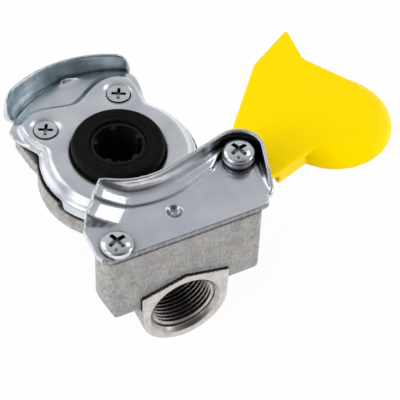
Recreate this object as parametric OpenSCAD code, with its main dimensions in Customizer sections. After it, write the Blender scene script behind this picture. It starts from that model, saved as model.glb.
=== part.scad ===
// Palm-type air brake coupling head with a swing-over dust cap.
// The pieces are drawn about the coupling axis, with z = 0 on the face of the disc plate, and are then
// set so that the origin is on the port's axis, where its thread begins, and the port opens towards -Y.

/* [Port] */
// Radius of the port thread at its full depth (M22 x 1.5)
port_r = 11; // [9:0.25:12]
// Length of the threaded wall
port_len = 15; // [12:0.5:18]
// Width of the entry chamfer around the thread
port_chamfer = 1.5; // [0.5:0.25:2]
// Wall of the port boss around the entry chamfer
port_wall = 2.6; // [2:0.2:4]
// How far the machined boss face stands out of the block
boss_out = 1.5; // [1:0.25:3]
// Port axis to the right of the coupling axis
port_x = 1; // [-3:0.5:3]
// Port mouth in front of the coupling axis
port_front = 50; // [48:0.5:54]
// Port axis below the disc plate
port_drop = 25.9; // [25:0.1:30]
// Radius of the air duct
duct_r = 8.2; // [6:0.2:8.8]

/* [Coupling disc] */
// Radius of the cast disc
disc_r = 26.5; // [25.5:0.25:28]
// Depth of the disc's lower edge below the plate
disc_depth = 14.5; // [13:0.5:17]
// How far the cast ring stands out under the disc plate
ring_out = 0.3; // [0.1:0.1:0.8]
// Wall of the elbow below the disc
elbow_wall = 7; // [5:0.5:8]

/* [Disc plate and guide lip] */
// Sheet thickness of the disc plate
plate_t = 1.8; // [1.4:0.1:2]
// Radius of the raised face's edge
face_r = 21.5; // [20.5:0.25:22.5]
// How far the fan lies below the raised face
fan_drop = 2.4; // [2:0.1:3]
// Radius of the fan's outer edge
fan_r = 37.6; // [36.5:0.25:38.5]
// Sheet thickness of the guide lip
lip_t = 1.8; // [1.4:0.1:2.2]
// How far the lip's outer edge stands out of the fan
lip_out = 4.4; // [3.5:0.1:5]
// Height of the lip's low end above the raised face
lip_low = 2.8; // [2:0.1:3.2]
// Height of the lip's high end above the raised face
lip_high = 6; // [5:0.25:8]
// Height of the tab that is turned down over the ring
tab_h = 3.2; // [2:0.1:4]
// Height of the tang at the fan's edge
tang_h = 2.6; // [1.5:0.1:3]

/* [Seal] */
// Height of the seal above the disc plate
seal_h = 3.7; // [3:0.1:4.2]
// Outer radius of the seal at the disc plate
seal_r = 15.4; // [14.5:0.1:16]
// Depth of the support ring below the disc plate
support_depth = 15; // [9:0.5:17]
// Radius of the hole through the seal
seal_bore = 9.3; // [8.9:0.1:10]
// Height of the seal's foot, which the disc plate holds down
foot_h = 2.6; // [2:0.1:3.2]

/* [Claw plate] */
// Sheet thickness of the claw plate
claw_t = 2.2; // [1.8:0.1:2.6]
// Height of the turned-up rim above the plate
rim_h = 6; // [4.5:0.25:7]
// Rise of the flared entry on the left
flare_h = 3.8; // [2:0.2:4]
// Wall of the block between its front and the slot round the disc
slot_wall = 6.9; // [6.3:0.1:8]
// Radius of the rim around the disc
rim_r = 26.6; // [26:0.1:27.5]
// Width of the ledge behind the rim
ledge_w = 6.8; // [6:0.2:7.6]
// Depth of the slot's floor below the disc plate
slot_floor = 3; // [2.5:0.25:5]

/* [Block] */
// Block face to the left of the coupling axis
block_left = 27.3; // [26.5:0.25:29]
// Block face to the right of the coupling axis
block_right = 27.6; // [26:0.25:29]
// Depth of the block's lower face below the disc plate
block_depth = 20.6; // [19:0.25:23]
// Width of the slope under the block's left end
slope_w = 4.3; // [2:0.1:6]
// Height of the slope under the block's left end
slope_h = 9.8; // [6:0.2:12]

/* [Cap] */
// Wall of the cap
cap_t = 2.3; // [1.8:0.1:2.6]
// Pivot to the right of the coupling axis
pivot_x = 29.6; // [28.5:0.1:30.5]
// Pivot in front of the coupling axis
pivot_y = 27.6; // [26.5:0.1:28.5]
// Direction of the open cap, from the block's long edge
open_angle = 10.9; // [5:0.1:15]
// Pivot to the middle of the dome
dome_reach = 39.6; // [39:0.1:41]
// Pivot to the arm's straight edge
arm_side = 10.2; // [9.6:0.1:11]
// Radius of the cap's dome at its lower rim
dome_r = 20; // [19.5:0.25:21]
// Rise of the dome's crown above the arm
crown_h = 0.2; // [0.2:0.1:1.5]
// Pivot to the ear's tip, along the arm
ear_reach = 51.6; // [48:0.2:54]
// Ear's tip to the side of the arm's axis
ear_side = 39.5; // [36:0.2:42]
// Neck between ear and dome to the side of the arm's axis
neck_side = 25.2; // [23:0.2:27]
// Radius of the pivot bush
bush_r = 4.5; // [4:0.1:5]
// Radius of the hub around the bush
hub_r = 9; // [8:0.25:9.5]

/* [Screws] */
// Radius of the pan-head screws (M5)
pan_r = 2.5; // [2:0.1:3]
// Head radius of the pan-head screws
pan_head_r = 5.2; // [4.5:0.1:5.5]
// Head height of the pan-head screws
pan_head_h = 3.1; // [2.5:0.1:3.6]
// Left claw screw to the left of the coupling axis
claw_screw_x = 20; // [19:0.25:21]
// Left claw screw in front of the coupling axis
claw_screw_y = 43.7; // [43:0.1:44.2]
// Height of the collar under the pivot screw
collar_h = 2.4; // [1.5:0.1:3.5]
// Radius of the countersunk screws (M4)
sunk_r = 2; // [1.6:0.1:2.4]
// Head radius of the countersunk screws
sunk_head_r = 4; // [3.6:0.1:4.2]
// Depth of the countersunk heads below the disc plate's face
sunk_depth = 0.65; // [0.2:0.05:0.8]
// Distance of the countersunk screws from the coupling axis
sunk_circle = 25.6; // [25:0.1:26]

/* [Fits] */
// Gap between the seal and the cap that passes over it
seal_gap = 0.5; // [0.4:0.05:0.8]
// Gap above and below the swinging hub
swing_gap = 0.3; // [0.25:0.05:0.4]
// Clearance of the hub on its bush
bush_fit = 0.05; // [0.02:0.01:0.08]
// Clearance of screws in their holes
screw_fit = 0.15; // [0.1:0.05:0.3]
// Clearance of the seal and its support in their seats
seat_fit = 0.1; // [0.05:0.05:0.2]

/* [Hidden] */
$fn = 96;

// Heights of the pieces that stack under and over the swinging cap
cap_low = seal_h + seal_gap;
cap_high = cap_low + cap_t;
claw_low = cap_high + swing_gap;
claw_high = claw_low + claw_t;
pillar_top = cap_low - swing_gap;
collar_top = claw_high + collar_h;

// Heights of the sheets on the disc
lip_r = fan_r + lip_out;
fan_low = -fan_drop - plate_t;
lip_low_face = fan_low - lip_t;
foot_low = -plate_t - foot_h;
skirt_low = -4.2;
ring_top = -5.4;

// Plan positions
pivot = [pivot_x, -pivot_y];
claw_screw_at = [-claw_screw_x, -claw_screw_y];
block_front = -port_front + boss_out;
slot_r = -block_front - slot_wall;
block_back = -slot_r + 5.1;
sunk_angles = [134.6, 65.4];
boss_r = port_r + port_chamfer + port_wall;
elbow_r = duct_r + elbow_wall;
dome_low = 0.5;
shoulder_r = dome_r - 8;
hollow_r = dome_r - cap_t - 1.5;
arm_end = dome_reach - dome_r + 1.8;
rim_left = 232.5;
rim_turn = 283.6;
crease_at = 0.375;
detent_at = polar(slot_r - 3.2, 273);
detent_r = 2.7;
detent_up = 0.9;
lip_start = 60;
lip_end = 131;
tab_from = 203;
tab_to = 223;
tang_at = 95;
rib_count = 5;
foot_r = seal_r + 3.1;

// Small sums used by several outlines
function unit(v) = v / norm(v);
function polar(r, a) = [r * cos(a), r * sin(a)];
function lerp(a, b, t) = a + (b - a) * t;
function ease(t) = let (c = min(max(t, 0), 1)) c * c * (3 - 2 * c);
function turn(a) = a - 360 * round(a / 360);

// An outline whose corners [x, y, radius] are rounded by arcs
function corner(p, q, s, r, n) =
    let (u = unit(p - q), v = unit(s - q), half = acos(u * v) / 2, c = q + unit(u + v) * r / sin(half),
        a = q + u * r / tan(half) - c, b = q + v * r / tan(half) - c, start = atan2(a.y, a.x),
        sweep = turn(atan2(b.y, b.x) - start))
    [for (i = [0:n]) c + polar(r, start + sweep * i / n)];
function rounded(list, n = 8) =
    let (count = len(list), flat = [for (p = list) [p.x, p.y]])
    [for (i = [0:count - 1])
        each list[i].z == 0 ? [flat[i]]
            : corner(flat[(i + count - 1) % count], flat[i], flat[(i + 1) % count], list[i].z, n)];

// A closed skin over rings of points, either ring-shaped itself or with its two ends filled
function skin_faces(n, m, loop) =
    [for (i = [0:n - (loop ? 1 : 2)]) for (j = [0:m - 1])
        let (i2 = (i + 1) % n, j2 = (j + 1) % m, a = i * m + j, b = i * m + j2, c = i2 * m + j2, d = i2 * m + j)
        each [[a, b, c], [a, c, d]]];
function end_faces(first, m, flip) =
    [for (j = [0:m / 2 - 2])
        let (a = first + j, b = first + j + 1, c = first + m - 2 - j, d = first + m - 1 - j)
        each flip ? [[a, c, b], [a, d, c]] : [[a, b, c], [a, c, d]]];
module skin(rings, loop = false) {
    n = len(rings);
    m = len(rings[0]);
    ends = loop ? [] : concat(end_faces(0, m, true), end_faces((n - 1) * m, m, false));
    polyhedron([for (ring = rings) each ring], concat(skin_faces(n, m, loop), ends), convexity = 8);
}

// Moves a piece from the coupling axis to the port's frame
module placed() {
    translate([-port_x, port_front - port_chamfer, port_drop]) children();
}

module at(p, z = 0) {
    translate([p.x, p.y, z]) children();
}

// A piece of tube wall between two directions
module arc_wall(inner, outer, from, to, h) {
    reach = outer * 1.5;
    intersection() {
        difference() {
            cylinder(r = outer, h = h);
            translate([0, 0, -1]) cylinder(r = inner, h = h + 2);
        }
        translate([0, 0, -1]) linear_extrude(h + 2)
            polygon([[0, 0], polar(reach, from), polar(reach * 1.2, (from + to) / 2), polar(reach, to)]);
    }
}

// Countersink that a screw's head fills, with a narrow gap round its edge and a shallow dish above it
module countersink() {
    cone = sunk_head_r - sunk_r + 1;
    translate([0, 0, -sunk_depth - sunk_head_r + sunk_r - seat_fit])
        cylinder(r1 = sunk_r, r2 = sunk_r + cone, h = cone);
    translate([0, 0, -sunk_depth - 0.5]) cylinder(r = sunk_head_r + 0.45, h = 0.5);
    translate([0, 0, -sunk_depth])
        cylinder(r1 = sunk_head_r + 0.45, r2 = sunk_head_r + 2.4, h = sunk_depth + 0.1);
}

// A cylinder along Y from one plane to another
module barrel(r, from, to, x, z) {
    translate([x, from, z]) rotate([-90, 0, 0]) cylinder(r = r, h = to - from);
}

// Cast housing: a disc and fan under the sheets, an elbow with the port, and the block under the claw plate
module block_outline() {
    polygon(rounded([[-block_left, block_front, 5], [block_right, block_front, 2],
        [pivot.x + 5.5, pivot.y - 4, 3], [pivot.x - 4, pivot.y + 3, 3], [14, block_back, 3],
        [-16, block_back, 4], [-block_left + 1, block_front + 9, 3.5]]));
}

// Slope that lightens the block's left end below
module left_slope() {
    out = -block_left - 1;
    translate([0, block_back + 2, 0]) rotate([90, 0, 0]) linear_extrude(port_front)
        polygon([[out, slope_h - block_depth], [-block_left, slope_h - block_depth],
            [slope_w - block_left, -block_depth], [slope_w - block_left, -block_depth - 1],
            [out, -block_depth - 1]]);
}

// Lug beside the left screw of the disc plate
module lug_outline() {
    polygon(rounded([[-27.4, 23.8, 2], [-26.3, 13, 4], [-24.6, 6.5, 0], [-15, 6.5, 0], [-15, 23.8, 0]]));
}

module boss_outline() {
    half = boss_r + 0.3;
    polygon(concat([[half, 11.5], [0, 15.6], [-half, 11.5]],
        [for (i = [0:24]) polar(boss_r, 180 + 180 * i / 24)]));
}

module fan_outline(r) {
    polygon(concat([[0, 0]], [for (i = [0:24]) polar(r, lerp(lip_start, lip_end + 7, i / 24))]));
}

module housing() color("darkgray") placed() difference() {
    union() {
        at([0, 0], -disc_depth) cylinder(r = disc_r + ring_out, h = disc_depth + ring_top);
        at([0, 0], ring_top - 5) linear_extrude(5) lug_outline();
        at([0, 0], -disc_depth - 4) cylinder(r1 = elbow_r, r2 = elbow_r + 4, h = 4.5);
        at([0, 0], -disc_depth) cylinder(r = face_r - 1, h = disc_depth - plate_t);
        for (a = sunk_angles) at(polar(sunk_circle, a), -disc_depth)
            cylinder(r = 5.5, h = disc_depth - plate_t);
        at([0, 0], lip_low_face - 6) linear_extrude(6) fan_outline(fan_r - 1.4);
        at([0, 0], -port_drop) cylinder(r = elbow_r, h = port_drop - disc_depth + 1);
        at([0, 0], -port_drop) sphere(r = elbow_r);
        barrel(boss_r - 0.4, block_front, 0, port_x, -port_drop);
        translate([port_x, block_back, -port_drop]) rotate([90, 0, 0])
            linear_extrude(block_back + port_front) boss_outline();
        difference() {
            at([0, 0], -block_depth) linear_extrude(block_depth - slot_floor) block_outline();
            left_slope();
        }
        at([port_x - 13, block_back - 1], -disc_depth) cube([26, -block_back - 14, disc_depth - 6]);
        difference() {
            at([0, 0], -slot_floor - 1) linear_extrude(slot_floor + 1 + claw_low) block_outline();
            at([0, 0], -slot_floor) cylinder(r = slot_r, h = slot_floor + claw_low + 1);
            at(pivot, -slot_floor) cylinder(r = hub_r + 0.8, h = slot_floor + claw_low + 1);
        }
        at(pivot, -block_depth + 4) cylinder(r = 6, h = block_depth - 4 + pillar_top);
    }
    // Seat of the seal's foot and the duct below it
    at([0, 0], foot_low) cylinder(r = foot_r + seat_fit, h = foot_h + 1);
    at([0, 0], -port_drop) cylinder(r = seal_bore, h = port_drop);
    at([0, 0], -port_drop) sphere(r = seal_bore);
    barrel(duct_r, -port_front + port_len, 0, port_x, -port_drop);
    // Threaded port with its entry chamfer
    barrel(port_r, -port_front - 1, -port_front + port_len, port_x, -port_drop);
    translate([port_x, -port_front, -port_drop]) rotate([-90, 0, 0])
        cylinder(r1 = port_r + port_chamfer, r2 = port_r, h = port_chamfer);
    // Groove round the ring, and the recess of the disc plate's tab
    at([0, 0], -8.3) arc_wall(disc_r - 0.2, disc_r + 2, 160, 232, 0.5);
    at([0, 0], skirt_low - tab_h - 1) arc_wall(disc_r - 2.4, disc_r + 3, tab_from - 4, tab_to + 4, tab_h + 1);
    // Screw holes
    for (a = sunk_angles) at(polar(sunk_circle, a)) {
        translate([0, 0, -13]) cylinder(r = sunk_r + screw_fit, h = 14);
        countersink();
    }
    at(claw_screw_at, claw_low - 14) cylinder(r = pan_r + screw_fit, h = 15);
    at(pivot, pillar_top - 12) cylinder(r = pan_r + screw_fit, h = 13);
}

// Pressed disc plate: a raised face with two screw lobes, a sloping edge with a tab turned down over the
// ring, and a fan towards the lip with a tang that stops the other head
function window(d, half) = abs(d) < half ? pow(cos(90 * d / half), 2) : 0;
function lobe(a) =
    let (middle = (sunk_angles[0] + sunk_angles[1]) / 2, side = a > middle ? 0 : 1, d = a - sunk_angles[side],
        outside = side == 0 ? d > 0 : d < 0)
    outside ? window(d, 24) * (sunk_circle + 7.6 - face_r) + face_r
        : window(d, 36) * (sunk_circle + 4.6 - face_r) + face_r + 3;
function fan_share(a) = ease((a - 43) / 17) * ease((155 - a) / 15);
function tab_share(a) = a > tab_from && a < tab_to ? 1 : 0;
function tang_share(a) = max(0, a > tang_at ? (tang_at + 4.5 - a) / 4.5 : (a - tang_at + 10.5) / 10.5);
function plate_ring(a) =
    let (t = plate_t, share = fan_share(a), crease = lobe(a), edge = lerp(disc_r - 0.4, fan_r, share),
        foot = min(crease + lerp(4.4, 2.6, share), edge - 0.7), foot_z = lerp(-3.3, -fan_drop, share),
        edge_z = lerp(skirt_low, -fan_drop, share), tuck = lerp(0.9, 0.3, share), tab = tab_share(a),
        profile = [[seal_r - 2, 0], [crease, 0], [lerp(crease, foot, 0.3), foot_z * 0.16],
            [lerp(crease, foot, 0.7), foot_z * 0.78], [foot, foot_z],
            [lerp(foot, edge, 0.87), lerp(foot_z, edge_z, 0.87)], [edge, edge_z + tang_h * tang_share(a)],
            [edge + 0.4 * tab, edge_z - 0.2 - tab_h * tab],
            [edge - tuck, edge_z - lerp(0.5, t, share) - tab_h * tab], [foot - tuck, foot_z - t],
            [lerp(crease, foot, 0.7) - 0.7, foot_z * 0.78 - t],
            [lerp(crease, foot, 0.3) - 0.4, foot_z * 0.16 - t], [crease - 0.3, -t], [seal_r - 2, -t]])
    [for (p = profile) [p.x * cos(a), p.x * sin(a), p.y]];

module disc_plate() color("silver") placed() difference() {
    skin([for (i = [0:119]) plate_ring(3 * i)], loop = true);
    at([0, 0], -plate_t - 1) cylinder(r = seal_r + seat_fit, h = plate_t + 2);
    for (a = sunk_angles) at(polar(sunk_circle, a)) {
        translate([0, 0, -plate_t - 1]) cylinder(r = sunk_r + screw_fit, h = plate_t + 2);
        countersink();
    }
}

// Guide lip: a sheet under the fan whose outer edge is drawn up in a trough that climbs to the left
function lip_ring(a) =
    let (t = lip_t, z = fan_low, share = (a - lip_start) / (lip_end - lip_start),
        ends = min(a - lip_start, lip_end - a) * PI / 180 * lip_r, round_r = 5,
        rise = ends < round_r ? sqrt(max(1 - pow(1 - ends / round_r, 2), 0)) : 1,
        top = lerp(z + 1.5, lerp(lip_low, lip_high, share), rise), reach = lerp(lip_r - 1.2, lip_r, share),
        inner = [[fan_r - 4.5, z], [fan_r + 0.2, z], [fan_r + 1.2, lerp(z, top, 0.1)],
            [reach - 1.9, lerp(z, top, 0.36)], [reach - 1.3, lerp(z, top, 0.68)], [reach - 1.1, top - 0.2],
            [reach - 0.5, top]],
        outer = [[reach, top - 0.2], [reach + 0.3, lerp(z - t, top, 0.75)],
            [reach + 0.2, lerp(z - t, top, 0.5)], [reach - 0.5, lerp(z - t, top, 0.25)],
            [fan_r + 1.9, z - t + 0.6], [fan_r + 0.2, z - t], [fan_r - 4.5, z - t]])
    [for (p = concat(inner, outer)) [p.x * cos(a), p.x * sin(a), p.y]];

module guide_lip() color("lightsteelblue") placed()
    skin([for (i = [0:47]) lip_ring(lerp(lip_start, lip_end, i / 47))]);

// Rubber seal with a bead around its hole and a foot under the disc plate
module seal_ring() color([0.08, 0.08, 0.08]) placed() rotate_extrude() polygon([
    [seal_bore, foot_low], [foot_r, foot_low], [foot_r, -plate_t], [seal_r, -plate_t], [seal_r, seal_h * 0.55],
    [seal_r - 0.35, seal_h * 0.82], [seal_r - 1.1, seal_h], [seal_bore + 2.2, seal_h],
    [seal_bore + 1.8, seal_h - 0.3], [seal_bore + 1.2, seal_h - 0.3], [seal_bore + 0.9, seal_h],
    [seal_bore + 0.3, seal_h], [seal_bore, seal_h - 0.4]]);

// Support ring with ribs inside the seal's hole
module seal_support() color([0.15, 0.15, 0.15]) placed() {
    ring_r = seal_bore - seat_fit;
    ring_high = seal_h - 1;
    difference() {
        at([0, 0], -support_depth) cylinder(r = ring_r, h = support_depth + ring_high);
        at([0, 0], -support_depth - 1) cylinder(r = ring_r - 1.1, h = support_depth + ring_high + 2);
    }
    intersection() {
        at([0, 0], -support_depth) cylinder(r = ring_r - 0.5, h = support_depth + ring_high);
        for (i = [1:rib_count]) at([0, 0], -support_depth) rotate(5 + 360 * i / rib_count)
            translate([ring_r - 2.4, -1, 0]) cube([2.4, 2, support_depth + ring_high - 0.5]);
    }
}

// Countersunk screw with a cross recess
module sunk_screw() {
    difference() {
        union() {
            translate([0, 0, -12]) cylinder(r = sunk_r, h = 12 - sunk_depth - 1);
            translate([0, 0, -sunk_depth - sunk_head_r + sunk_r])
                cylinder(r1 = sunk_r, r2 = sunk_head_r, h = sunk_head_r - sunk_r);
        }
        for (a = [-28, 62]) rotate(a) translate([-sunk_head_r * 0.62, -0.5, -sunk_depth - 1.2])
            cube([sunk_head_r * 1.24, 1, 2]);
    }
}

module sunk_screw_left() color("lightgray") placed() at(polar(sunk_circle, sunk_angles[0])) sunk_screw();

module sunk_screw_right() color("lightgray") placed() at(polar(sunk_circle, sunk_angles[1])) sunk_screw();

// Claw plate: flat on the block, with a ledge over the slot, a flared entry on the left and a turned-up rim.
// A place s runs along the rim: 0 to 1 round the disc, 1 to 2 straight, 2 to 3 round the pivot,
// and 3 to 4 to the front
rim_bend = polar(rim_r, rim_turn);
pivot_rim = (pivot - rim_bend) * polar(1, rim_turn);
rim_corner = pivot + polar(pivot_rim, rim_turn - 180);
right_angle = -14;
right_start = pivot + polar(pivot_rim, right_angle);
plate_front = block_front + 0.3;
corner_at = [pivot.x + 3, plate_front + 3.2];
function rim_at(s) = s < 1 ? polar(rim_r, lerp(rim_left, rim_turn, s))
    : s < 2 ? lerp(rim_bend, rim_corner, s - 1)
    : s < 3 ? pivot + polar(pivot_rim, lerp(rim_turn - 180, right_angle, s - 2))
    : lerp(right_start, corner_at, s - 3);
function inward(s) = s < 1 ? polar(1, lerp(rim_left, rim_turn, s)) : s < 2 ? polar(1, rim_turn)
    : s < 3 ? polar(-1, lerp(rim_turn - 180, right_angle, s - 2)) : polar(-1, right_angle);
heel = polar(slot_r + 1.2, rim_left - 1.5);
front_path = [[0, heel.x, heel.y], [0.25, -block_left, plate_front + 4.2],
    [1 / 3, -block_left + 1, plate_front + 1.6], [5 / 12, -block_left + 3.4, plate_front],
    [3, pivot.x - 2.6, plate_front], [3.5, pivot.x + 0.4, plate_front + 0.4],
    [4, corner_at.x - 1.9, corner_at.y - 2]];
ledge_path = [[0, ledge_w], [1, ledge_w], [1.6, ledge_w - 1.2], [1.83, 2.6], [2, 1.6], [3, 1.6], [4, 1]];
rim_path = [[0, 1.05], [0.084, 1.1], [0.4, 1], [3, 1], [3.5, 0.6], [4, 0.03]];
edge_path = [[0, 0.7], [0.084, 0], [4, 0]];
rim_taper = [[0, 0.5], [1, 0.72], [2, 0.9], [3, 1]];
function column(table, k) = [for (p = table) [p[0], p[k]]];
function front_at(s) = [lookup(s, column(front_path, 1)), lookup(s, column(front_path, 2))];
function high(p, z) = [p.x, p.y, z];
function claw_line(s) =
    let (r = rim_at(s), step = r + inward(s) * lookup(s, ledge_path), f = front_at(s),
        share = lookup(s, rim_path), lift = flare_h * max(0, 1 - s / crease_at) + lookup(s, edge_path),
        bend = (norm(f) - slot_r) / (norm(f) - norm(step)),
        heel_line = lerp(f, step, bend > 0 && bend < 0.9 ? max(bend, 0.05) : 0.9), z = claw_high,
        ledge = z + 0.9 * share + lift, top = z + rim_h * share)
    [high(f, z), high(lerp(f, heel_line, 0.5), z), high(heel_line, z),
        high(lerp(heel_line, step, 0.26), z + lift * 0.88), high(step, z + lift),
        high(lerp(step, r, 0.12), ledge), high(lerp(step, r, 0.55), ledge + 0.3 * share),
        high(lerp(step, r, 0.76), lerp(ledge, top, 0.22)), high(lerp(step, r, 0.9), lerp(ledge, top, 0.6)),
        high(r, top)];
claw_steps = 12;
claw_grid = [for (i = [0:4 * claw_steps]) claw_line(i / claw_steps)];
function claw_normal(i, j) =
    let (n = len(claw_grid) - 1, m = len(claw_grid[0]) - 1,
        along = claw_grid[min(i + 1, n)][j] - claw_grid[max(i - 1, 0)][j],
        across = claw_grid[i][min(j + 1, m)] - claw_grid[i][max(j - 1, 0)])
    unit(cross(along, across));
function claw_ring(i) =
    let (m = len(claw_grid[0]))
    concat(claw_grid[i], [for (j = [m - 1:-1:0])
        claw_grid[i][j] - claw_t * lookup(m - 1 - j, rim_taper) * claw_normal(i, j)]);

module claw_plate() color("silver") placed() difference() {
    union() {
        skin([for (i = [0:len(claw_grid) - 1]) claw_ring(i)]);
        intersection() {
            at(detent_at, claw_high + detent_up) sphere(r = detent_r + claw_t * 0.7);
            at(detent_at, claw_low - claw_t) cylinder(r = detent_r + 1, h = claw_t + 0.5);
        }
    }
    at(detent_at, claw_high + detent_up) sphere(r = detent_r);
    at(claw_screw_at, claw_low - 1) cylinder(r = pan_r + screw_fit, h = claw_t + 2);
    at(pivot, claw_low - 1) cylinder(r = pan_r + screw_fit, h = claw_t + 2);
}

// Pan-head screw with a cross recess
module pan_screw(length) {
    difference() {
        union() {
            translate([0, 0, -length]) cylinder(r = pan_r, h = length);
            rotate_extrude() polygon(concat([[0, 0], [pan_head_r, 0]], [for (i = [0:8])
                [pan_head_r * cos(11.25 * i), pan_head_h * (0.42 + 0.58 * sin(11.25 * i))]]));
        }
        for (a = [17, 107]) rotate(a) translate([-pan_head_r * 0.58, -0.7, pan_head_h - 2.2])
            cube([pan_head_r * 1.16, 1.4, 3]);
        at(polar(pan_head_r * 0.68, 242), pan_head_h * 0.7) cylinder(r = 0.5, h = 2);
    }
}

module claw_screw() color("gainsboro") placed() at(claw_screw_at, claw_high) pan_screw(14);

module pivot_screw() color("gainsboro") placed() at(pivot, collar_top)
    pan_screw(collar_top - pillar_top + 10);

// Sleeve that holds the claw plate off the pillar and carries the hub
module pivot_bush() color("lightgray") placed() at(pivot, pillar_top) difference() {
    cylinder(r = bush_r, h = claw_low - pillar_top);
    translate([0, 0, -1]) cylinder(r = pan_r + screw_fit, h = claw_low - pillar_top + 2);
}

// Collar and washer between the claw plate and the pivot screw's head
module pivot_collar() color("lightgray") placed() at(pivot, claw_high) difference() {
    union() {
        cylinder(r = pan_head_r - 0.4, h = collar_h);
        translate([0, 0, collar_h - 1]) cylinder(r = pan_head_r + 0.1, h = 1);
    }
    translate([0, 0, -1]) cylinder(r = pan_r + screw_fit, h = collar_h + 2);
}

// Dust cap: an arm with a thumb ear, and a dome whose skirt is open on the side that meets the seal first.
// It is drawn along X from its pivot, as it points when it is open
module cap_outline() {
    polygon(rounded([[-1.5, hub_r - 3, 0], [ear_reach * 0.62, ear_side * 0.825, 5],
        [ear_reach, ear_side, 0.8], [dome_reach + 7.8, neck_side, 6], [dome_reach + 16, 3.8, 4],
        [dome_reach, -6, 0],
        [arm_end, -arm_side + 1.5, 0], [hub_r, -arm_side, 1], [-1.7, -hub_r + 0.2, 0]]));
    circle(r = hub_r);
}

function dome_profile(n = 10) = [for (i = [0:n])
    [shoulder_r + (dome_r - shoulder_r) * sin(90 * i / n),
        dome_low + (cap_high + crown_h - dome_low) * cos(90 * i / n)]];

// The way that the seal takes into the dome
module seal_way() {
    arc_wall(norm(pivot) - seal_r - seal_gap, norm(pivot) + seal_r + seal_gap, 0, 80, cap_low);
}

module cap() color("gold") placed() at(pivot) rotate(open_angle) difference() {
    union() {
        translate([0, 0, cap_low]) linear_extrude(cap_t) cap_outline();
        translate([dome_reach, 0, 0]) rotate_extrude()
            polygon(concat([[0, dome_low], [0, cap_high + crown_h]], dome_profile()));
        translate([0, 0, dome_low]) linear_extrude(cap_high - dome_low) polygon([[hub_r, -arm_side],
            [arm_end, -arm_side + 1.5], [arm_end, -arm_side + 1.5 + cap_t], [hub_r, -arm_side + cap_t]]);
    }
    translate([dome_reach, 0, dome_low - 1])
        cylinder(r1 = dome_r - cap_t, r2 = hollow_r, h = cap_low - dome_low + 1);
    seal_way();
    translate([0, 0, cap_low - 1]) cylinder(r = bush_r + bush_fit, h = cap_t + 2);
}

housing();
disc_plate();
guide_lip();
seal_ring();
seal_support();
sunk_screw_left();
sunk_screw_right();
claw_plate();
claw_screw();
pivot_bush();
pivot_collar();
pivot_screw();
cap();
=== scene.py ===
import math
import bmesh
import bpy
from mathutils import Matrix, Vector


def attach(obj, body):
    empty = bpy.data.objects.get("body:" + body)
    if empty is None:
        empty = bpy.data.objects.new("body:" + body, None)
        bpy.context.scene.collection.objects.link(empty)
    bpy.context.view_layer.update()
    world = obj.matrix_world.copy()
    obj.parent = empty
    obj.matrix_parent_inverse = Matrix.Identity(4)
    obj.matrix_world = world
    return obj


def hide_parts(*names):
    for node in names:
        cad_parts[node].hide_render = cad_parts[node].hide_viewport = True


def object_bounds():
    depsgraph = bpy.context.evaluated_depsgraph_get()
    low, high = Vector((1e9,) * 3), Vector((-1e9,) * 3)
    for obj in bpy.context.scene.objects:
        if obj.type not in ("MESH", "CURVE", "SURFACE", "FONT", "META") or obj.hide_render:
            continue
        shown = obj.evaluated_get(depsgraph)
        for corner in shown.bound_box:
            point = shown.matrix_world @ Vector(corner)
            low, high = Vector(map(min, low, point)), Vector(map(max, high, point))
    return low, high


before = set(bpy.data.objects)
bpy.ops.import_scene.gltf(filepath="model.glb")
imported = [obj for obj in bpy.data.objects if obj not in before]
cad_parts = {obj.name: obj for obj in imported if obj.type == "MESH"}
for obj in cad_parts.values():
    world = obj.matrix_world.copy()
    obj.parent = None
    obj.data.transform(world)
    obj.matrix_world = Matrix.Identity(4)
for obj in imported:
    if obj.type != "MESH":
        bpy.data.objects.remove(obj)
cad_low, cad_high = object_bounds()

# Cast housing
# The body of the coupler is one sand casting in aluminium: a block with the hose port, a lying barrel and the
# elbow below the disc. Its blasted skin is left raw, with edges as round as the mould left them. Only the face
# and the bore of the port are machined. The roof and the tops of the sides of its boss are painted near black
# as shade, and a band of the casting under the skirt of the disc plate is darkened as painted shadow.

mm = 0.001


def worn_copy(node, grain, rounds, keep=1.0):
    """The node's solid as a fine even skin with its edges rounded off, thinned to a share of its faces."""
    bm = bmesh.new()
    bm.from_mesh(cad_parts[node].data)
    bmesh.ops.remove_doubles(bm, verts=bm.verts, dist=0.002 * mm)
    bmesh.ops.recalc_face_normals(bm, faces=bm.faces)
    rough = bpy.data.meshes.new(node + "_rough")
    bm.to_mesh(rough)
    bm.free()
    blank = bpy.data.objects.new(node + "_blank", rough)
    bpy.context.scene.collection.objects.link(blank)
    skin = blank.modifiers.new("skin", "REMESH")
    skin.mode = "VOXEL"
    skin.voxel_size = grain * mm
    wear = blank.modifiers.new("wear", "SMOOTH")
    wear.factor = 0.5
    wear.iterations = rounds
    if keep < 1:
        thin = blank.modifiers.new("thin", "DECIMATE")
        thin.ratio = keep
    even = bpy.data.meshes.new_from_object(blank.evaluated_get(bpy.context.evaluated_depsgraph_get()))
    bpy.data.objects.remove(blank)
    for point in even.vertices:
        point.co = [min(max(at, low), high) for at, low, high in zip(point.co, cad_low, cad_high)]
    return even


def fit(name, mesh, body, slot, finish, *nodes, sharp=180):
    """Hang a finished mesh on its body in place of the named CAD nodes."""
    mesh.materials.clear()
    mesh.materials.append(finish)
    mesh.polygons.foreach_set("use_smooth", [True] * len(mesh.polygons))
    if sharp < 180:
        mesh.set_sharp_from_angle(angle=math.radians(sharp))
    obj = bpy.data.objects.new(name, mesh)
    bpy.context.scene.collection.objects.link(obj)
    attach(obj, body)
    if nodes:
        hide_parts(*nodes)
    return obj


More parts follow.
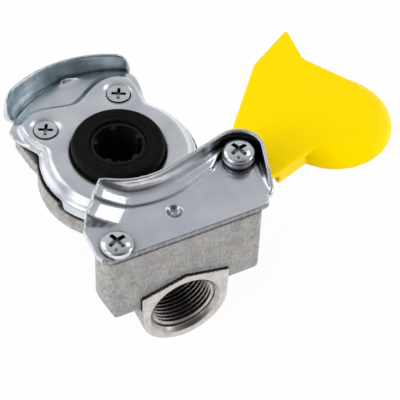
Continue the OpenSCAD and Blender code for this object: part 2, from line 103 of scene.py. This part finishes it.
def surface(name, metallic, shine=0.5):
    """A new material with its object coordinates at hand. Shine is the strength of its mirror layer."""
    mat = bpy.data.materials.new(name)
    mat.use_nodes = True
    shader = mat.node_tree.nodes["Principled BSDF"]
    shader.inputs["Metallic"].default_value = metallic
    shader.inputs["Specular IOR Level"].default_value = shine
    mat.node_tree.nodes.new("ShaderNodeTexCoord").name = "place"
    return mat


def noise(mat, size, detail=3.0, stretch=(1, 1, 1)):
    """Soft noise with spots of the given size in millimetres, stretched along the axes."""
    tree = mat.node_tree
    turn = tree.nodes.new("ShaderNodeMapping")
    turn.inputs["Scale"].default_value = stretch
    tex = tree.nodes.new("ShaderNodeTexNoise")
    tex.inputs["Scale"].default_value = 1 / (size * mm)
    tex.inputs["Detail"].default_value = detail
    tree.links.new(tree.nodes["place"].outputs["Object"], turn.inputs["Vector"])
    tree.links.new(turn.outputs["Vector"], tex.inputs["Vector"])
    return tex.outputs["Fac"]


def tint(mat, amount, *colours, low=0.32, high=0.68):
    """Colour the surface by an amount, from the first colour to the last, over any colour already there."""
    tree = mat.node_tree
    ramp = tree.nodes.new("ShaderNodeValToRGB")
    stops = ramp.color_ramp.elements
    while len(stops) < len(colours):
        stops.new(0.5)
    for i, colour in enumerate(colours):
        stops[i].position = low + (high - low) * i / (len(colours) - 1)
        stops[i].color = (*colour, 1)
    tree.links.new(amount, ramp.inputs["Fac"])
    base = tree.nodes["Principled BSDF"].inputs["Base Color"]
    if base.is_linked:
        mix = tree.nodes.new("ShaderNodeMix")
        mix.data_type = "RGBA"
        mix.blend_type = "MULTIPLY"
        mix.inputs["Factor"].default_value = 1.0
        under, over = [socket for socket in mix.inputs if socket.type == "RGBA"]
        mixed = next(socket for socket in mix.outputs if socket.type == "RGBA")
        tree.links.new(base.links[0].from_socket, under)
        tree.links.new(ramp.outputs["Color"], over)
        tree.links.new(mixed, base)
    else:
        tree.links.new(ramp.outputs["Color"], base)


def gloss(mat, amount, smooth, rough):
    """Roughness between two values, by noise."""
    span = mat.node_tree.nodes.new("ShaderNodeMapRange")
    span.inputs["From Min"].default_value = 0.3
    span.inputs["From Max"].default_value = 0.7
    span.inputs["To Min"].default_value = smooth
    span.inputs["To Max"].default_value = rough
    mat.node_tree.links.new(amount, span.inputs["Value"])
    mat.node_tree.links.new(span.outputs["Result"], mat.node_tree.nodes["Principled BSDF"].inputs["Roughness"])


def relief(mat, amount, depth):
    """Fine relief of the given depth in millimetres, over any relief already there."""
    bump = mat.node_tree.nodes.new("ShaderNodeBump")
    bump.inputs["Distance"].default_value = depth * mm
    normal = mat.node_tree.nodes["Principled BSDF"].inputs["Normal"]
    if normal.is_linked:
        mat.node_tree.links.new(normal.links[0].from_socket, bump.inputs["Normal"])
    mat.node_tree.links.new(amount, bump.inputs["Height"])
    mat.node_tree.links.new(bump.outputs["Normal"], normal)


def painted_shade(mat, reach, darkest, low=0.42, high=0.92):
    """Painted shade: darken the surface in recesses and corners of the given depth in millimetres."""
    shelter = mat.node_tree.nodes.new("ShaderNodeAmbientOcclusion")
    shelter.inputs["Distance"].default_value = reach * mm
    shelter.samples = 8
    tint(mat, shelter.outputs["AO"], (darkest, darkest, darkest), (1, 1, 1), low=low, high=high)


def paint_shadow_patch(mat, place, reach, darkest):
    """Paint a shadow as a dark patch around a place, with its reach along the axes in millimetres."""
    tree = mat.node_tree
    patch = tree.nodes.new("ShaderNodeMapping")
    patch.vector_type = "TEXTURE"
    patch.inputs["Location"].default_value = Vector(place) * mm
    patch.inputs["Scale"].default_value = Vector(reach) * mm
    away = tree.nodes.new("ShaderNodeVectorMath")
    away.operation = "LENGTH"
    tree.links.new(tree.nodes["place"].outputs["Object"], patch.inputs["Vector"])
    tree.links.new(patch.outputs["Vector"], away.inputs[0])
    tint(mat, away.outputs["Value"], (darkest, darkest, darkest), (1, 1, 1), low=0.9, high=1.0)


cast_greys = (0.291, 0.282, 0.272), (0.359, 0.348, 0.337), (0.417, 0.404, 0.393)
cast_specks = (0.7, 0.695, 0.69), (1, 1, 1), (1.15, 1.15, 1.15)
# place and reach of the painted shadow under the disc plate's skirt, in millimetres
skirt_shadow_place = (-1.0, 48.5, 20.8)
skirt_shadow_reach = (30.0, 30.0, 1.5)

cast_skin = surface("blasted_casting", metallic=0.5)
tint(cast_skin, noise(cast_skin, size=5.0, detail=5.0), *cast_greys)
tint(cast_skin, noise(cast_skin, size=0.8, detail=6.0, stretch=(1, 1, 0.5)), *cast_specks)
# painted shade in the corners and recesses of the casting
painted_shade(cast_skin, reach=2.0, darkest=0.12)
# painted shadow: a dark band on the casting just under the skirt of the disc plate
paint_shadow_patch(cast_skin, skirt_shadow_place, skirt_shadow_reach, darkest=0.05)
gloss(cast_skin, noise(cast_skin, size=1.5), smooth=0.4, rough=0.6)
relief(cast_skin, noise(cast_skin, size=0.8, detail=4.0), depth=0.14)
relief(cast_skin, noise(cast_skin, size=3.5), depth=0.25)

cut_greys = (0.54, 0.51, 0.485), (0.7, 0.665, 0.64)

cut_metal = surface("machined_metal", metallic=0.9)
tint(cut_metal, noise(cut_metal, size=2.5, detail=4.0, stretch=(1, 0.3, 1)), *cut_greys)
# painted shade in the corners of the machined face
painted_shade(cut_metal, reach=1.5, darkest=0.25)
gloss(cut_metal, noise(cut_metal, size=0.6), smooth=0.26, rough=0.42)
relief(cut_metal, noise(cut_metal, size=0.35), depth=0.006)

tapped_browns = (0.42, 0.375, 0.36), (0.58, 0.53, 0.51)
thread_valley = 1.0
bore_depth = 45.0

tapped_metal = surface("tapped_metal", metallic=1.0)
tint(tapped_metal, noise(tapped_metal, size=3.0), *tapped_browns)
# painted shade in the thread valleys and deeper down the bore
painted_shade(tapped_metal, thread_valley, darkest=0.45, low=0.3, high=0.7)
painted_shade(tapped_metal, bore_depth, darkest=0.3, low=0.06, high=0.36)
gloss(tapped_metal, noise(tapped_metal, size=0.6), smooth=0.24, rough=0.36)

# painted shade: near-black colour for the roof and the tops of the sides of the port's boss
boss_shade_blacks = (0.006, 0.005, 0.005), (0.03, 0.027, 0.025)

boss_shade_black = surface("painted_boss_shade", metallic=0.0, shine=0.1)
tint(boss_shade_black, noise(boss_shade_black, size=1.5), *boss_shade_blacks)
gloss(boss_shade_black, noise(boss_shade_black, size=0.8), smooth=0.5, rough=0.7)

tapped_long = 13.7
tapped_r = 12.45
milled_from = -1.3
block_front = 0.25
flank_turn = -0.55
flank_low = 3.0
roof_top = 15.0
roof_fall = 0.266
roof_half = 14.9
side_shade_drop = 6.0


def on_shaded_flank(spot, normal):
    """Whether a spot lies on the roof of the port's boss or at the top of its two sides, where shade is painted
    near black.
    """
    side = abs(spot.x)
    shade_low = roof_top - side * roof_fall
    if side > roof_half:
        shade_low -= side_shade_drop
    return spot.y < block_front and normal.y > flank_turn and spot.z > max(shade_low, flank_low)


casting = worn_copy("housing", grain=0.4, rounds=2, keep=0.45)
housing = fit("cast_housing", casting, "head", "cast_alloy", cast_skin, "housing")
cut, tapped, shaded_flank = 1, 2, 3
for finish in (cut_metal, tapped_metal, boss_shade_black):
    housing.data.materials.append(finish)
for face in housing.data.polygons:
    spot = face.center / mm
    if spot.y < tapped_long and math.hypot(spot.x, spot.z) < tapped_r:
        face.material_index = tapped
    # faces on the roof and the tops of the sides of the boss take the painted shade
    elif on_shaded_flank(spot, face.normal):
        face.material_index = shaded_flank
    elif spot.y < milled_from:
        face.material_index = cut

# Port thread
# The brake hose screws into the port, which is bored and tapped straight in the casting. The tap cuts a fine
# 22 mm thread and leaves its turns bare and bright, starting behind the chamfer at the mouth.

thread_r = 11.0
thread_pitch = 1.5
thread_long = 12.0
turn_steps = 72
ridge_profile = (0.1, 0.05), (-0.8, 0.6), (-0.8, 0.8), (0.1, 1.35)

bm = bmesh.new()
ridge = [bm.verts.new(((thread_r + out) * mm, 0, along * mm)) for out, along in ridge_profile]
for a, b in zip(ridge, ridge[1:] + ridge[:1]):
    bm.edges.new((a, b))
turns = thread_long / thread_pitch
steps = int(turns * turn_steps)
start = bm.faces.new(ridge)
bmesh.ops.spin(bm, geom=[start, *bm.verts, *bm.edges], cent=(0, 0, 0), axis=(0, 0, 1),
               dvec=(0, 0, thread_pitch * turns / steps * mm), angle=math.tau * turns, steps=steps)
into_port = Matrix.Rotation(math.radians(-90), 4, "Y") @ Matrix.Rotation(math.radians(-90), 4, "X")
bmesh.ops.transform(bm, matrix=into_port, verts=bm.verts)
bmesh.ops.recalc_face_normals(bm, faces=bm.faces)
mesh = bpy.data.meshes.new("port_thread")
bm.to_mesh(mesh)
bm.free()
fit("port_thread", mesh, "head", "cast_alloy", tapped_metal, sharp=35)

# Disc plate
# A zinc-plated steel pressing that covers the elbow and holds the seal. It is dished round its two screws and
# stepped up to the fan at its far side, and its skirt comes down over the edge of the casting.

disc_greys = (0.63, 0.668, 0.716), (0.726, 0.75, 0.793), (0.82, 0.83, 0.86)
press_rounds = 30

disc_zinc = surface("bright_zinc_plating", metallic=1.0)
tint(disc_zinc, noise(disc_zinc, size=12.0), *disc_greys)
# painted shade in the dishes and bends of the disc plate
painted_shade(disc_zinc, reach=2.0, darkest=0.3)
gloss(disc_zinc, noise(disc_zinc, size=5.0, detail=4.0), smooth=0.2, rough=0.3)
relief(disc_zinc, noise(disc_zinc, size=6.0), depth=0.09)
relief(disc_zinc, noise(disc_zinc, size=0.5), depth=0.005)

sheet = worn_copy("disc_plate", grain=0.3, rounds=16)
bm = bmesh.new()
bm.from_mesh(sheet)
for press in range(press_rounds):
    bmesh.ops.smooth_vert(bm, verts=bm.verts, factor=0.5, use_axis_z=True)
bm.to_mesh(sheet)
bm.free()
fit("disc_plate_sheet", sheet, "head", "zinc_sheet", disc_zinc, "disc_plate")

# Guide lip
# A strip of zinc-plated steel sheet, held between the disc plate's fan and the casting and turned up along its
# outer edge in a press. The claw of the other coupler slides along it. Its inside is a little rougher than its
# rim and is painted a darker teal as painted reflection; the faces of its rim that turn outward take the disc
# plate's zinc.

# painted reflection: the inside of the lip is coloured a darker teal
lip_reflection_teals = (0.36, 0.47, 0.51), (0.53, 0.655, 0.705), (0.74, 0.83, 0.88)
disc_middle = Vector((-1.0, 48.5, 0.0)) * mm
lip_inner_r = 40 * mm
lip_turn = -0.45

lip_reflection_zinc = surface("lip_painted_reflection", metallic=1.0)
tint(lip_reflection_zinc, noise(lip_reflection_zinc, size=5.0, stretch=(1, 1, 0.5)), *lip_reflection_teals)
# painted shade in the bend of the lip
painted_shade(lip_reflection_zinc, reach=1.2, darkest=0.4)
gloss(lip_reflection_zinc, noise(lip_reflection_zinc, size=5.0, detail=4.0), smooth=0.3, rough=0.42)
relief(lip_reflection_zinc, noise(lip_reflection_zinc, size=0.5), depth=0.005)

strip = worn_copy("guide_lip", grain=0.3, rounds=5)
lip = fit("guide_lip_sheet", strip, "head", "zinc_sheet", lip_reflection_zinc, "guide_lip")
# faces of the rim that turn outward take the brighter disc zinc; the rest keeps the painted reflection
bright = 1
lip.data.materials.append(disc_zinc)
for face in lip.data.polygons:
    away = (face.center - disc_middle).to_2d()
    if away.length > lip_inner_r and away.normalized().dot(face.normal.to_2d()) > lip_turn:
        face.material_index = bright

# Seal ring and its support
# A ring moulded in black rubber stands out of the disc plate, which holds it down by its foot, and seals
# against the ring of the other coupler. A ribbed ring of black plastic in its hole keeps it round.

rubber_blacks = (0.003, 0.003, 0.0027), (0.006, 0.006, 0.0055)

rubber = surface("seal_rubber_black", metallic=0.0, shine=0.06)
tint(rubber, noise(rubber, size=2.5), *rubber_blacks)
gloss(rubber, noise(rubber, size=1.2), smooth=0.38, rough=0.52)
relief(rubber, noise(rubber, size=0.6), depth=0.01)

seal = worn_copy("seal_ring", grain=0.25, rounds=6)
fit("seal_ring_moulded", seal, "head", "seal_rubber", rubber, "seal_ring")

support_blacks = (0.004, 0.004, 0.004), (0.008, 0.008, 0.008)

black = surface("support_black", metallic=0.0, shine=0.2)
tint(black, noise(black, size=3.0), *support_blacks)
gloss(black, noise(black, size=1.5), smooth=0.45, rough=0.6)

support = worn_copy("seal_support", grain=0.25, rounds=3)
fit("seal_support_ring", support, "head", "black_plastic", black, "seal_support")

# Sunk screws
# Two countersunk steel screws with cross recesses, zinc plated. They sit in the dishes of the disc plate and
# hold it down on the casting.

screw_greys = (0.66, 0.67, 0.7), (0.8, 0.81, 0.84)

screw_zinc = surface("screw_plating", metallic=1.0)
tint(screw_zinc, noise(screw_zinc, size=3.0), *screw_greys)
# painted shade in the cross recesses and under the heads
painted_shade(screw_zinc, reach=1.6, darkest=0.02, high=0.85)
gloss(screw_zinc, noise(screw_zinc, size=0.9), smooth=0.1, rough=0.2)
relief(screw_zinc, noise(screw_zinc, size=0.4), depth=0.003)

for node in ("sunk_screw_left", "sunk_screw_right"):
    screw = worn_copy(node, grain=0.12, rounds=3)
    fit(node + "_turned", screw, "head", "zinc_screw", screw_zinc, node)

# Claw plate
# A second zinc-plated steel pressing, screwed flat on the port block. Its rim turns up and flares at the left,
# where the lip of the other coupler enters, and a dimple in its middle clicks that coupler into place. The edge
# at the front of the block is painted dark grey as shade.

zinc_greys = (0.63, 0.665, 0.72), (0.71, 0.725, 0.775), (0.79, 0.795, 0.835)

zinc = surface("zinc_plating", metallic=1.0)
tint(zinc, noise(zinc, size=14.0), *zinc_greys)
# painted shade in the bends of the claw plate and under its rim
painted_shade(zinc, reach=4.0, darkest=0.1)
gloss(zinc, noise(zinc, size=5.0, detail=4.0), smooth=0.15, rough=0.25)
relief(zinc, noise(zinc, size=6.0), depth=0.09)
relief(zinc, noise(zinc, size=0.5), depth=0.005)

# painted shade: dark grey for the front edge of the claw plate
edge_shade_greys = (0.26, 0.26, 0.28), (0.44, 0.44, 0.46)
edge_turn = -0.5
edge_back = 2 * mm

front_edge_shade = surface("painted_edge_shade", metallic=1.0)
tint(front_edge_shade, noise(front_edge_shade, size=1.0, stretch=(1, 1, 0.3)), *edge_shade_greys)
gloss(front_edge_shade, noise(front_edge_shade, size=0.6), smooth=0.4, rough=0.55)

pressing = worn_copy("claw_plate", grain=0.3, rounds=12)
claw = fit("claw_plate_sheet", pressing, "head", "zinc_sheet", zinc, "claw_plate")
shaded_edge = 1
claw.data.materials.append(front_edge_shade)
# faces at the front edge that turn forward take the painted shade
for face in claw.data.polygons:
    if face.normal.y < edge_turn and face.center.y < edge_back:
        face.material_index = shaded_edge

# Claw screw and pivot
# A zinc-plated pan-head screw holds the claw plate on the left. On the right a longer one, with a turned collar
# under its head and a bush on its shank, holds the plate and makes the pivot that the cap turns on.

for node, grain in (("claw_screw", 0.14), ("pivot_screw", 0.14), ("pivot_collar", 0.2), ("pivot_bush", 0.2)):
    turned = worn_copy(node, grain, rounds=3)
    fit(node + "_turned", turned, "head", "zinc_screw", screw_zinc, node)

# Dust cap
# A cap moulded in one piece of glossy yellow plastic: a flat arm with a thumb ear, and a hollow dome. Its hub
# turns on the bush under the claw plate, and the dome covers the seal when the arm is swung round.

cap_yellows = (0.95, 0.665, 0.0), (0.96, 0.69, 0.0)
cap_glint = (1.0, 0.85, 0.0, 1)

yellow = surface("cap_yellow", metallic=0.0, shine=0.15)
yellow.node_tree.nodes["Principled BSDF"].inputs["Specular Tint"].default_value = cap_glint
tint(yellow, noise(yellow, size=9.0), *cap_yellows)
gloss(yellow, noise(yellow, size=8.0, detail=1.0), smooth=0.29, rough=0.32)
relief(yellow, noise(yellow, size=0.8), depth=0.002)

moulding = worn_copy("cap", grain=0.35, rounds=8)
fit("dust_cap", moulding, "cap", "yellow_plastic", yellow, "cap")

# Floor
# A plain white sheet of paper under the part. The camera and the metal see it as white, and it keeps only a
# faint shadow.

paper_half = 3.0
paper_white = (0.85, 0.85, 0.85, 1)
paper_rough = 0.9
white_share = 0.95

bm = bmesh.new()
bmesh.ops.create_grid(bm, x_segments=1, y_segments=1, size=paper_half)
bmesh.ops.translate(bm, vec=(0, 0, cad_low.z), verts=bm.verts)
mesh = bpy.data.meshes.new("floor")
bm.to_mesh(mesh)
bm.free()
floor = bpy.data.objects.new("floor", mesh)
bpy.context.scene.collection.objects.link(floor)
sweep = bpy.data.materials.new("white_sweep")
sweep.use_nodes = True
tree = sweep.node_tree
paper = tree.nodes["Principled BSDF"]
paper.inputs["Base Color"].default_value = paper_white
paper.inputs["Roughness"].default_value = paper_rough
glow = tree.nodes.new("ShaderNodeEmission")
seen = tree.nodes.new("ShaderNodeLightPath")
whites = seen.outputs["Is Camera Ray"]
for kind in ("Is Glossy Ray", "Is Transmission Ray"):
    either = tree.nodes.new("ShaderNodeMath")
    either.operation = "MAXIMUM"
    tree.links.new(whites, either.inputs[0])
    tree.links.new(seen.outputs[kind], either.inputs[1])
    whites = either.outputs["Value"]
share = tree.nodes.new("ShaderNodeMath")
share.operation = "MULTIPLY"
share.inputs[1].default_value = white_share
blend = tree.nodes.new("ShaderNodeMixShader")
tree.links.new(whites, share.inputs[0])
tree.links.new(share.outputs["Value"], blend.inputs["Fac"])
tree.links.new(paper.outputs["BSDF"], blend.inputs[1])
tree.links.new(glow.outputs["Emission"], blend.inputs[2])
tree.links.new(blend.outputs["Shader"], tree.nodes["Material Output"].inputs["Surface"])
mesh.materials.append(sweep)

# Camera
# A long lens at the front left, looking down on the part from about 0.6 m away. It is rolled a little, so the
# part leans as it does in the photograph.

eye = Vector((-0.1573, -0.30509, 0.45721))
aim = Vector((0.01817, 0.02609, 0.01457))
roll = math.radians(2.452)

lens = bpy.data.cameras.new("camera")
lens.lens = 159.3
lens.sensor_width = 36
camera = bpy.data.objects.new("camera", lens)
bpy.context.scene.collection.objects.link(camera)
turn = (aim - eye).to_track_quat("-Z", "Y").to_matrix() @ Matrix.Rotation(roll, 3, "Z")
camera.matrix_world = Matrix.Translation(eye) @ turn.to_4x4()
bpy.context.scene.camera = camera

# Studio light
# White walls all round with one dim corner at the front, four soft boxes that the metal mirrors, and broad
# fills that only reach the dull surfaces.

dim_corner = (-0.12, -0.858, 0.5)
wall_tone = (0.985, 1.0, 1.03)
wall_levels = ((0.0, 0.66), (0.3, 0.66), (0.41, 0.56), (0.54, 0.56),
               (0.75, 0.48), (0.9, 0.32), (0.95, 0.16), (0.98, 0.09))

world = bpy.data.worlds.new("studio")
bpy.context.scene.world = world
world.use_nodes = True
tree = world.node_tree
way = tree.nodes.new("ShaderNodeTexCoord")
walls = tree.nodes.new("ShaderNodeValToRGB")
stops = walls.color_ramp.elements
while len(stops) < len(wall_levels):
    stops.new(0.5)
for stop, (nearness, level) in zip(stops, wall_levels):
    stop.position = nearness
    stop.color = (*(level * tone for tone in wall_tone), 1)
lean = tree.nodes.new("ShaderNodeVectorMath")
lean.operation = "DOT_PRODUCT"
lean.inputs[1].default_value = dim_corner
span = tree.nodes.new("ShaderNodeMapRange")
span.inputs["From Min"].default_value = -1.0
tree.links.new(way.outputs["Generated"], lean.inputs[0])
tree.links.new(lean.outputs["Value"], span.inputs["Value"])
tree.links.new(span.outputs["Result"], walls.inputs["Fac"])
tree.links.new(walls.outputs["Color"], tree.nodes["Background"].inputs["Color"])

lit_spot = Vector((0.02, 0.03, 0.0))
lamps = (("left_box", (-0.85, -0.13, 0.5), 0.5, 0.95, True),
         ("right_box", (0.6, 0.18, 0.78), 0.24, 0.42, True),
         ("back_box", (-0.6, 0.6, 0.5), 0.7, 1.2, True),
         ("corner_box", (0.85, -0.45, 0.3), 0.35, 0.75, True),
         ("left_fill", (-0.95, 0.05, 0.15), 0.8, 11.0, False),
         ("right_fill", (0.9, 0.0, 0.35), 0.8, 3.4, False),
         ("front_fill", (0.3, -0.9, 0.3), 0.8, 3.9, False),
         ("high_fill", (-0.2, -0.2, 1.0), 0.6, 1.8, False))

for name, place, size, power, mirrored in lamps:
    lamp = bpy.data.lights.new(name, "AREA")
    lamp.energy = power
    lamp.size = size
    box = bpy.data.objects.new(name, lamp)
    box.location = place
    box.visible_glossy = mirrored
    box.rotation_euler = (lit_spot - box.location).to_track_quat("-Z", "Y").to_euler()
    bpy.context.scene.collection.objects.link(box)
bpy.context.scene.view_settings.view_transform = "Standard"
